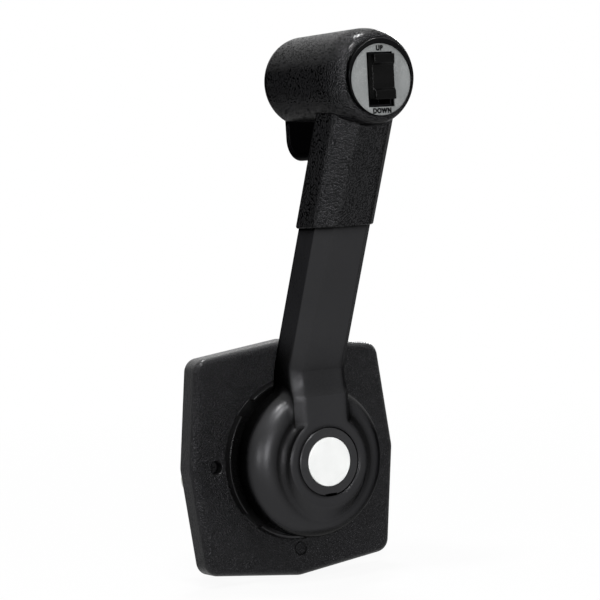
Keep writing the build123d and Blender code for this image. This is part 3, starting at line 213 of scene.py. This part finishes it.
# ---------------------------------------------------------------- rear plate, bracket and arms
# The plate closes the gear case, the bracket holds the ends of both cables, and the arms pull
# them. They are pressed from steel sheet and zinc-plated, with a faint yellow-blue passivation.
zinc_grey, zinc_yellow = (0.50, 0.50, 0.47), (0.58, 0.565, 0.50)
spangle_share, rolling_depth, sheet_edge = 0.10, 0.00002, 0.0005
zinc = Finish("zinc_plate")
spangle = zinc.node("ShaderNodeTexVoronoi", {}, Vector=zinc.spot(None), Scale=210.0, out="Color")
zinc_tone = zinc.noise(55.0, detail=4.0)
rolled = zinc.noise(900.0, detail=2.0, stretch=(0.1, 1.0, 1.0))
zinc_tint = zinc.mix(zinc_tone.ramp(0.35, 0.65), zinc_grey, zinc_yellow)
zinc_tint = zinc.mix(spangle_share, zinc_tint, spangle)
wear(zinc.done(Base_Color=zinc_tint, Metallic=1.0, Roughness=zinc_tone * 0.15 + rolled * 0.08 + 0.24,
               Normal=zinc.relief(rolled, rolling_depth, zinc.rounded(sheet_edge))),
     "rear_plate", "cable_bracket", "throttle_arm", "shift_arm")


# ---------------------------------------------------------------- screws and nuts of the gear case
# Standard machine screws hold the casting, the rear plate and the switch, and a locked nut holds
# each arm on its shaft. All are stainless steel, headed and rolled, then left bright.
wear(turned_steel, "chassis_screws", "rear_screws", "switch_screws", "throttle_nut", "shift_nut")


# ---------------------------------------------------------------- friction brake
# A screw presses a shoe against the main shaft, so that the lever stays where it is put. The shoe
# is natural nylon, pale and waxy; the screw and its locking nut are stainless steel.
mirroring = 0.92                      # share of a black surface that mirrors its own colour
turning, turned = 0.70, 0.90          # slants between which that share fades out
# Sheen painted on by facing: faces that look up, and less so down, get a glossy coat so that they read as
# lit from above.
sheen_starts, sheen_full = 0.2, 0.8   # how squarely a face has to look up, or down, for its painted sheen
sheen_below = 0.4                     # of the painted sheen on top
sheen_rough = 0.24


def black(skin, rim, painted_sheen, broken=1.0, **sockets):
    """Finish a dark surface that mirrors its own colour; rim is what is left of the mirroring at a
    glancing angle, and none is left where the surface turns away. A sheen is painted on by facing:
    faces on top, and less so those below, get a glossy coat so that they read as lit from above,
    and broken thins it in places."""
    turned_away = skin.node("ShaderNodeLayerWeight", {}, 0.5, out=1)
    facing = skin.node("ShaderNodeTexCoord", {}, out="Normal")
    up = skin.node("ShaderNodeSeparateXYZ", {}, facing, out=2)
    # Painted sheen: the coat's weight is set by which way the face looks.
    painted_top_sheen = up.ramp(sheen_starts, sheen_full, 0.0, painted_sheen)
    painted_under_sheen = up.ramp(-sheen_full, -sheen_starts, painted_sheen * sheen_below, 0.0)
    return skin.done(Metallic=mirroring - turned_away.ramp(turning, turned, 0.0, mirroring),
                     Specular_IOR_Level=0.0, Specular_Tint=(rim, rim, rim),
                     Coat_Weight=(painted_top_sheen + painted_under_sheen) * broken, Coat_Roughness=sheen_rough, **sockets)


worn_patch, scuffed, grain_tip = 1.22, 2.6, 3.5   # times the plastic's own colour


def paler(colour, times):
    return tuple(min(c * times, 1) for c in colour)


def moulded(name, colour, rough, grain, depth, edge=0.0006, rim=0.12, painted_sheen=0.2, fleck=0.15):
    """Engineering plastic with a fine grain eroded into its mould; flecks are the grain's tips."""
    skin = Finish(name)
    fine = skin.noise(grain, detail=2.0, rough=0.6)
    broad = skin.noise(38.0)
    scuff = skin.noise(130.0, detail=4.0, rough=0.7).ramp(0.56, 0.72)
    tips = skin.noise(1900.0, detail=2.0, rough=0.7).ramp(0.48, 0.72)
    tint = skin.mix(broad.ramp(0.35, 0.7), colour, paler(colour, worn_patch))
    tint = skin.mix(scuff * 0.22, tint, paler(colour, scuffed))
    tint = skin.mix(tips * fleck, tint, paler(colour, grain_tip))
    return black(skin, rim, painted_sheen, tips * fleck + (1 - fleck * 0.5), Base_Color=tint,
                 Roughness=broad * 0.12 + scuff * 0.06 + (rough - 0.06),
                 Normal=skin.relief(fine, depth, skin.rounded(edge)))


wear(moulded("natural_nylon", (0.60, 0.57, 0.48), 0.45, 1500.0, 0.00003), "friction_shoe")
wear(turned_steel, "friction_screw", "friction_nut")


# ---------------------------------------------------------------- neutral switch
# A bought microswitch on the bracket, which lets the engine start in neutral only. Its case is
# black thermoset, moulded with a fine grain.
wear(moulded("switch_thermoset", (0.02, 0.02, 0.022), 0.40, 1800.0, 0.00003), "neutral_switch")


# ---------------------------------------------------------------- face plate and plugs
# The plate lies on the boat's side panel and carries everything. It is black glass-filled nylon
# with a coarse eroded grain, ribbed behind; the plugs are the same nylon pressed over the screws.
plate_nylon = moulded("plate_nylon", (0.0125, 0.0125, 0.0132), 0.30, 1300.0, 0.00110, rim=0.7,
                      painted_sheen=0.9, fleck=0.9)
wear(plate_nylon, "face_plate", "screw_plugs")


# ---------------------------------------------------------------- panel screws
# Four self-tapping screws of blackened steel hold the control to the panel. The rolled thread
# runs from the plate's back to the point, and a ridge of its own stands on each shank.
class Shape(Tree):
    """A geometry tree under construction, with a named input for each size."""

    KINDS = {float: "NodeSocketFloat", int: "NodeSocketInt", str: "NodeSocketMaterial"}

    def __init__(self, name, **sizes):
        self.group = bpy.data.node_groups.new(name, "GeometryNodeTree")
        for size, kind in {**sizes, "Material": str}.items():
            self.group.interface.new_socket(size.replace("_", " "), in_out="INPUT",
                                            socket_type=self.KINDS[kind])
        self.group.interface.new_socket("Geometry", in_out="OUTPUT", socket_type="NodeSocketGeometry")
        super().__init__(self.group)

    def size(self, name):
        return self.node("NodeGroupInput", {}, out=name)

    def wire(self, path, radius, sides):
        """A round wire along the path, with closed ends."""
        section = self.node("GeometryNodeCurvePrimitiveCircle", {}, Resolution=sides, Radius=radius)
        return self.node("GeometryNodeCurveToMesh", {}, Curve=path, Profile_Curve=section, Fill_Caps=True)

    def done(self, geometry):
        plain = self.node("GeometryNodeRealizeInstances", {}, geometry)
        coated = self.node("GeometryNodeSetMaterial", {}, Geometry=plain, Material=self.size("Material"))
        self.node("NodeGroupOutput", {}, coated)

    def make(self, name, place, body, slot, **values):
        """A plain mesh made by the tree with these values, put in its place and on its body."""
        piece = bpy.data.objects.new(name, bpy.data.meshes.new(name))
        scene.collection.objects.link(piece)
        modifier = piece.modifiers.new(name, "NODES")
        modifier.node_group = self.group
        for item in self.group.interface.items_tree:
            if item.in_out == "INPUT":
                modifier[item.identifier] = values[item.name.replace(" ", "_")]
        evaluated = piece.evaluated_get(bpy.context.evaluated_depsgraph_get())
        plain = bpy.data.meshes.new_from_object(evaluated)
        piece.modifiers.remove(modifier)
        plain.transform(place)
        plain.shade_smooth()
        piece.data = plain
        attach(piece, body)
        return piece


black_oxide = metal("black_oxide", (0.020, 0.020, 0.021), (0.045, 0.045, 0.047), 0.34, 1500.0)
wear(black_oxide, "panel_screws")

thread = Shape("rolled_thread", Radius=float, Ridge=float, Length=float, Turns=float, Point_Length=float,
               Point_Turns=float, Point_Radius=float, Circle=float, Screws=int)
steps_a_turn, ridge_sides = 20, 6
along_shank = thread.node("GeometryNodeCurveSpiral", {}, Resolution=steps_a_turn,
                          Rotations=thread.size("Turns"), Height=thread.size("Length"),
                          Start_Radius=thread.size("Radius"), End_Radius=thread.size("Radius"))
along_point = thread.node("GeometryNodeCurveSpiral", {}, Resolution=steps_a_turn,
                          Rotations=thread.size("Point Turns"), Height=thread.size("Point Length"),
                          Start_Radius=thread.size("Radius"), End_Radius=thread.size("Point Radius"))
shank_end = thread.node("ShaderNodeCombineXYZ", {}, Z=thread.size("Length"))
along_point = thread.node("GeometryNodeTransform", {}, Geometry=along_point, Translation=shank_end)
both_paths = thread.node("GeometryNodeJoinGeometry", {}, [along_shank, along_point])
ridge = thread.wire(both_paths, thread.size("Ridge"), ridge_sides)
holes = thread.node("GeometryNodeMeshCircle", {}, Vertices=thread.size("Screws"),
                    Radius=thread.size("Circle"))
thread.done(thread.node("GeometryNodeInstanceOnPoints", {}, Points=holes, Instance=ridge))

to_the_back = Matrix.Rotation(-pi / 2, 4, "X")
thread_start, point_start = 0.0012, 0.020
thread_seat = Matrix.Translation((0, thread_start, 0)) @ to_the_back
thread.make("panel_screw_threads", thread_seat, "base", "steel", Material=black_oxide,
            Radius=0.00200, Ridge=0.00032, Length=point_start - thread_start, Turns=14.0,
            Point_Length=0.0034, Point_Turns=3.0, Point_Radius=0.00062, Circle=0.0507, Screws=4)


# ---------------------------------------------------------------- hub ring and lock sleeve
# The ring closes the gap between plate and dome and is black nylon with a smooth skin. The sleeve
# behind it, notched for the lock rod at neutral, is turned steel.
wear(moulded("ring_nylon", (0.030, 0.030, 0.031), 0.28, 2600.0, 0.00004, rim=1.0, painted_sheen=0.8), "hub_ring")
wear(turned_steel, "lock_sleeve")


# ---------------------------------------------------------------- lever arm
# Dome and arm are one aluminium die-casting, shot-blasted and powder-coated satin black. The coat
# has a faint orange peel and rounds the dome's folds, and shade is painted dark into the folds.
def over_normal(skin, amount, a, b):
    """Normal b over normal a."""
    return skin.node("ShaderNodeMix", {"data_type": "VECTOR"}, at={0: amount, 4: a, 5: b}, out=1)


coat_dark, coat_light = (0.030, 0.030, 0.0315), (0.034, 0.034, 0.0358)
painted_fold_shade = (0.002, 0.002, 0.002)
dome_end, arm_start = 0.055, 0.070     # heights over the shaft
dome_edge, arm_edge = 0.0045, 0.0012
painted_shade_reach, peel_depth = 0.030, 0.00005
coat = Finish("lever_powder_coat")
peel = coat.noise(900.0, detail=2.0, rough=0.45)
cloud = coat.noise(26.0)
# Painted shade: ambient occlusion darkens the coat's colour to near black in the folds.
painted_shade_occlusion = coat.node("ShaderNodeAmbientOcclusion", {"samples": 8}, Distance=painted_shade_reach, out=1)
coat_tint = coat.mix(cloud.ramp(0.3, 0.75), coat_dark, coat_light)
coat_tint = coat.mix(painted_shade_occlusion.ramp(0.84, 0.995), painted_fold_shade, coat_tint)
on_arm = coat.node("ShaderNodeSeparateXYZ", {}, coat.spot(None), out=2).ramp(dome_end, arm_start)
softened = over_normal(coat, on_arm, coat.rounded(dome_edge), coat.rounded(arm_edge))
wear(black(coat, 0.03, 0.4, Base_Color=coat_tint, Roughness=cloud * 0.06 + 0.30,
           Normal=coat.relief(peel, peel_depth, softened)), "lever_arm")


# ---------------------------------------------------------------- hub nut and washer
# A nut and a plain washer clamp the lever on the end of its shaft, under the hub cap. Both are
# stainless steel, the washer stamped and the nut turned from hexagon bar.
wear(turned_steel, "hub_nut", "hub_washer")


# ---------------------------------------------------------------- springs
# One spring pushes the warm-up button out and one pulls the lock rod down. Both are wound cold
# from hard-drawn steel wire, their coils closed up at the ends and open in the middle.
spring_steel = metal("spring_steel", (0.30, 0.30, 0.31), (0.40, 0.40, 0.41), 0.22, 1500.0, 0.0002)

spring = Shape("wound_spring", Radius=float, Wire=float, Turns=float, Height=float)
wire_steps_a_turn, wire_sides = 28, 10
rings = spring.node("GeometryNodeCurveSpiral", {}, Resolution=wire_steps_a_turn,
                    Rotations=spring.size("Turns"),
                    Start_Radius=spring.size("Radius"), End_Radius=spring.size("Radius"), Height=0.0)
wound = spring.node("GeometryNodeSplineParameter", {})
closed_height = spring.size("Wire") * spring.size("Turns") * 2.0
opening = spring.size("Height") - closed_height
eased = wound - wound.math("SINE", wound * tau) * (1 / tau)
rise = spring.node("ShaderNodeCombineXYZ", {}, Z=wound * closed_height + opening * eased)
coils = spring.node("GeometryNodeSetPosition", {}, rings, Offset=rise)
spring.done(spring.wire(coils, spring.size("Wire"), wire_sides))

button_end, nut_end = Vector((0, -0.0453, 0)), Vector((0, -0.04065, 0))
button_coil = spring.make("button_spring_wire", Matrix.Translation(button_end) @ to_the_back, "lever",
                          "steel", Material=spring_steel, Radius=0.00765, Wire=0.00035, Turns=2.0,
                          Height=0.0043)
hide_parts("button_spring")
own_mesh(button_coil)

arm_lean = radians(24.5)
rod_line = Matrix.Translation((0, -0.067, 0.128)) @ Matrix.Rotation(arm_lean, 4, "X")
rod_seat, rod_stop = Vector((0, 0, -0.0770)), Vector((0, 0, -0.04415))
lock_coil = spring.make("lock_spring_wire", rod_line @ Matrix.Translation(rod_seat), "lever", "steel",
                        Material=spring_steel, Radius=0.00345, Wire=0.00045, Turns=8.0, Height=0.03240)
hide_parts("lock_spring")
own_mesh(lock_coil)


# ---------------------------------------------------------------- hub cap and warm-up button
# The cap snaps over the hub nut and is smooth black ABS. The button in it is off-white with a
# light sheen; pulled out, it parts the gears from the lever so that the engine warms in neutral.
wear(moulded("cap_abs", (0.034, 0.034, 0.0355), 0.34, 3200.0, 0.00002, edge=0.0004), "hub_cap")

button_shade, button_light = (0.80, 0.81, 0.80), (0.86, 0.87, 0.86)
button_edge, polish_depth = 0.0003, 0.00001
pearl = Finish("button_offwhite")
pearl_cloud = pearl.noise(90.0)
pearl_grain = pearl.noise(2600.0, detail=1.0)
wear(pearl.done(Base_Color=pearl.mix(pearl_cloud.ramp(0.35, 0.7), button_shade, button_light),
                Roughness=pearl_grain * 0.12 + 0.30,
                Normal=pearl.relief(pearl_grain, polish_depth, pearl.rounded(button_edge))),
     "warmup_button")


# ---------------------------------------------------------------- lock rod and trigger
# Fingers lift the trigger under the grip, which draws the steel rod out of the lock sleeve. The
# trigger is glass-filled nylon with a satin skin; a clip on the rod bears on the spring.
wear(turned_steel, "lock_rod", "rod_clip")
wear(moulded("trigger_nylon", (0.005, 0.005, 0.0055), 0.42, 3200.0, 0.00004, edge=0.001), "lock_trigger")


# ---------------------------------------------------------------- grip and its sleeve
# The grip and the sleeve below it are soft black rubber with a leather grain: small rounded
# pebbles parted by fine creases, into which shade is painted dark. Two screws inside hold the
# grip on the arm.
# Painted shade: the creases between the pebbles are coloured far darker than the pebbles' tops.
rubber_top, painted_crease_shade = (0.029, 0.029, 0.0303), (0.0085, 0.0085, 0.0089)
pebbles_a_metre, pebble_depth, grip_edge = 1200.0, 0.00024, 0.0008
leather = Finish("grip_rubber")
drift = leather.noise(160.0, detail=2.0)
pebble = leather.node("ShaderNodeTexVoronoi", {}, Vector=leather.spot(None), Scale=pebbles_a_metre)
crease = (pebble * pebble).ramp(0.0, 0.5)
speck = leather.noise(2600.0, detail=1.0)
smooth = leather.rounded(grip_edge)
pebbled = leather.relief((1 - crease) + speck * 0.05 + drift * 0.5, pebble_depth, smooth)
glancing = leather.node("ShaderNodeLayerWeight", {}, 0.5, out=1).ramp(0.55, 0.75)
# The painted sheen on top is strongest on the pebbles and thin in the creases.
wear(black(leather, 0.15, 0.6, crease.ramp(0.0, 1.0, 1.4, 0.2),
           Base_Color=leather.mix(crease.ramp(0.25, 1.0), rubber_top, painted_crease_shade),
           Roughness=speck * 0.2 - drift * 0.06 + 0.07,
           Normal=over_normal(leather, glancing, pebbled, smooth)), "grip_body", "grip_sleeve")
wear(turned_steel, "grip_screws")


# ---------------------------------------------------------------- trim switch
# A rocker that tilts the drive, on a steel pin in a housing pressed into the grip's end. Housing
# and rocker are black ABS, the rocker polished.
wear(moulded("housing_abs", (0.010, 0.010, 0.011), 0.40, 1800.0, 0.00002), "switch_housing")
wear(turned_steel, "rocker_pin")

rocker_deep, rocker_thumbed = (0.001, 0.001, 0.001), (0.003, 0.003, 0.003)
rocker_edge = 0.0009
rocker = Finish("rocker_black")
thumbed = rocker.noise(90.0)
wear(rocker.done(Base_Color=rocker.mix(thumbed.ramp(0.4, 0.7), rocker_deep, rocker_thumbed),
                 Roughness=thumbed * 0.15 + 0.08, Specular_IOR_Level=0.065,
                 Normal=rocker.relief(thumbed, polish_depth, rocker.rounded(rocker_edge))), "trim_rocker")


# ---------------------------------------------------------------- switch cap
# A black ring that snaps into the grip's end and frames the label. It is ABS from a polished
# mould, faintly smeared by hands.
cap_deep, cap_smeared = (0.007, 0.007, 0.0075), (0.010, 0.010, 0.0105)
cap_edge = 0.0005
gloss = Finish("polished_black")
smear = gloss.noise(60.0, detail=4.0, rough=0.65)
swirl = gloss.noise(420.0, detail=2.0)
wear(black(gloss, 0.1, 0.9, Base_Color=gloss.mix(smear.ramp(0.4, 0.7), cap_deep, cap_smeared),
           Roughness=smear * 0.12 + 0.10,
           Normal=gloss.relief(swirl, polish_depth, gloss.rounded(cap_edge))),
     "switch_cap")


# ---------------------------------------------------------------- label
# A satin silver-grey plate stuck in the cap round the rocker. The two words that say which way
# the drive tilts are printed on it in black.
silver_shade, silver_light = (0.20, 0.208, 0.208), (0.235, 0.245, 0.245)
silver_spark = (0.38, 0.39, 0.39)
label_edge, satin_depth = 0.0002, 0.00002
silver = Finish("label_silver")
sparkle = silver.noise(2400.0, detail=1.0)
silver_tint = silver.mix(silver.noise(120.0).ramp(0.3, 0.7), silver_shade, silver_light)
silver_tint = silver.mix(sparkle.ramp(0.5, 0.8), silver_tint, silver_spark)
wear(silver.done(Base_Color=silver_tint, Metallic=0.2, Roughness=sparkle * 0.16 + 0.42,
                 Normal=silver.relief(sparkle, satin_depth, silver.rounded(label_edge))), "label_disc")

ink_full, ink_thin = (0.008, 0.008, 0.009), (0.02, 0.02, 0.021)
ink = Finish("label_ink")
ink_tint = ink.mix(ink.noise(900.0).ramp(0.4, 0.8), ink_full, ink_thin)
label_ink = ink.done(Base_Color=ink_tint, Roughness=ink.noise(1500.0) * 0.1 + 0.4, Specular_IOR_Level=0.1,
                     Normal=ink.relief(ink.noise(2500.0), polish_depth, ink.rounded(0.0001)))

capitals = 0.0025          # height of the letters
capitals_share = 0.70      # of the type's size
letter_width, letter_spacing = 0.88, 1.16
stroke_gain, ink_thickness = 0.00009, 0.00003
ink_spread = [(dx, dy) for dx in (-0.00014, 0.00014) for dy in (-0.00008, 0.00008)] + [(0, 0)]
label_tilt = radians(1.0)


def printed(name, text, middle):
    """A word on the label's face, struck several times over so that its strokes are bold."""
    type_set = bpy.data.curves.new(name, "FONT")
    type_set.body = text
    type_set.align_x, type_set.align_y = "CENTER", "CENTER"
    type_set.size = capitals / capitals_share
    type_set.space_character = letter_spacing
    type_set.offset = stroke_gain
    type_set.extrude = ink_thickness
    type_set.resolution_u = 4
    setter = bpy.data.objects.new(name + "_type", type_set)
    scene.collection.objects.link(setter)
    bpy.context.view_layer.update()
    once = bpy.data.meshes.new_from_object(setter.evaluated_get(bpy.context.evaluated_depsgraph_get()))
    bpy.data.objects.remove(setter)
    once.transform(Matrix.Scale(letter_width, 4, (1, 0, 0)))
    struck = bmesh.new()
    for dx, dy in ink_spread:
        once.transform(Matrix.Translation((dx, dy, 0)))
        struck.from_mesh(once)
        once.transform(Matrix.Translation((-dx, -dy, 0)))
    struck.to_mesh(once)
    struck.free()
    once.transform(Matrix.Translation(middle) @ Matrix.Rotation(label_tilt + pi / 2, 4, "X"))
    once.materials.clear()
    once.materials.append(label_ink)
    word = bpy.data.objects.new(name, once)
    scene.collection.objects.link(word)
    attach(word, "lever")


label_low, label_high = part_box("label_disc")
label_face = label_low[1]
label_middle = (label_low[2] + label_high[2]) / 2
up_rise, down_drop = 0.0161, 0.0163
up_proud, down_sunk = 0.00005, 0.0005   # of the face's foremost point, which leans back below
printed("word_up", "UP", (0, label_face - up_proud, label_middle + up_rise))
printed("word_down", "DOWN", (0, label_face + down_sunk, label_middle - down_drop))


# ---------------------------------------------------------------- floor and surround
# The control stands over a matt white floor in a white room. Lamps light the floor near the
# control as they light the control, and further off it runs into the white of the room.
def shown(tree):
    """1 for rays from the camera, straight or by way of a mirror or glass; 0 for those that light."""
    kinds = [tree.node("ShaderNodeLightPath", {}, out=ray)
             for ray in ("Is Camera Ray", "Is Glossy Ray", "Is Transmission Ray")]
    return tree.node("ShaderNodeMath", {"operation": "MINIMUM"}, kinds[0] + kinds[1] + kinds[2], 1.0)


floor_half, floor_gap = 6.0, 0.0005
paper_white, pure_white = (0.86, 0.86, 0.86), (1, 1, 1)
near, far, white_near_by = 0.25, 1.1, 0.93   # metres from the shaft, and the share of pure white
studio = Finish("studio_white")
far_off = studio.node("ShaderNodeVectorMath", {"operation": "LENGTH"}, studio.spot(None), out=1)
paper = studio.node("ShaderNodeBsdfDiffuse", {}, paper_white)
glow = studio.node("ShaderNodeEmission", {}, pure_white, 1.0)
white = shown(studio) * far_off.ramp(near, far, white_near_by, 1.0)
studio.node("ShaderNodeOutputMaterial", {}, studio.node("ShaderNodeMixShader", {}, white, paper, glow))

floor_z = cad_box[0][2] - floor_gap
floor_mesh = bpy.data.meshes.new("floor")
floor_mesh.from_pydata([(-floor_half, -floor_half, floor_z), (floor_half, -floor_half, floor_z),
                        (floor_half, floor_half, floor_z), (-floor_half, floor_half, floor_z)],
                       [], [(0, 1, 2, 3)])
floor_mesh.materials.append(studio.made)
floor = bpy.data.objects.new("floor", floor_mesh)
scene.collection.objects.link(floor)

fill_white, fill_strength = (0.98, 0.98, 1.0), 0.12
room = Finish("surround", bpy.data.worlds)
dim = room.node("ShaderNodeBackground", {}, fill_white, fill_strength)
bright = room.node("ShaderNodeBackground", {}, pure_white, 1.0)
room.node("ShaderNodeOutputWorld", {}, room.node("ShaderNodeMixShader", {}, shown(room), dim, bright))
scene.world = room.made


# ---------------------------------------------------------------- lamps
# Small soft lamps far off: one high and one low in front, one at the left that the flanks mirror,
# two overhead for the tops, and one behind that keeps the back and the right side from going black.
lamps = {"high_front": ((-0.40, -1.10, 1.45), (0, 0, 0.1), (0.22, 0.22), 9),
         "front": ((-0.75, -1.58, 0.24), (0, 0, 0.05), (0.22, 0.22), 9),
         "left": ((-1.55, -0.85, 0.25), (0, 0, 0.05), (0.20, 0.30), 5.4),
         "overhead": ((-0.50, -0.52, 1.75), (0, -0.08, 0.2), (0.20, 0.20), 12),
         "top_back": ((0.25, 0.45, 1.85), (0, -0.08, 0.2), (0.35, 0.35), 14),
         "behind": ((1.25, 1.20, 0.65), (0, 0, 0.1), (0.35, 0.35), 8)}
for name, (spot, aim, (width, height), watts) in lamps.items():
    lamp = bpy.data.lights.new(name, "AREA")
    lamp.shape = "RECTANGLE"
    lamp.size, lamp.size_y = width, height
    lamp.energy = watts
    stand = bpy.data.objects.new(name, lamp)
    stand.location = spot
    stand.rotation_euler = (Vector(aim) - Vector(spot)).to_track_quat("-Z", "Y").to_euler()
    scene.collection.objects.link(stand)


# ---------------------------------------------------------------- camera
# A long lens looks from the helm's side, a little forward of square and almost level, and is
# rolled a few degrees so that the lever leans to the right.
camera_aim = Vector((0.017526, 0.0, 0.086241))
camera_distance = 1.50993
camera_azimuth, camera_elevation, camera_roll = radians(-31.82), radians(3.02), radians(-3.50)
camera_data = bpy.data.cameras.new("camera")
camera_data.sensor_width = 36.0
camera_data.lens = 161.49
camera = bpy.data.objects.new("camera", camera_data)
camera.matrix_world = (Matrix.Translation(camera_aim) @ Matrix.Rotation(camera_azimuth, 4, "Z")
                       @ Matrix.Rotation(pi / 2 - camera_elevation, 4, "X")
                       @ Matrix.Translation((0, 0, camera_distance))
                       @ Matrix.Rotation(camera_roll, 4, "Z"))
scene.collection.objects.link(camera)
scene.camera = camera
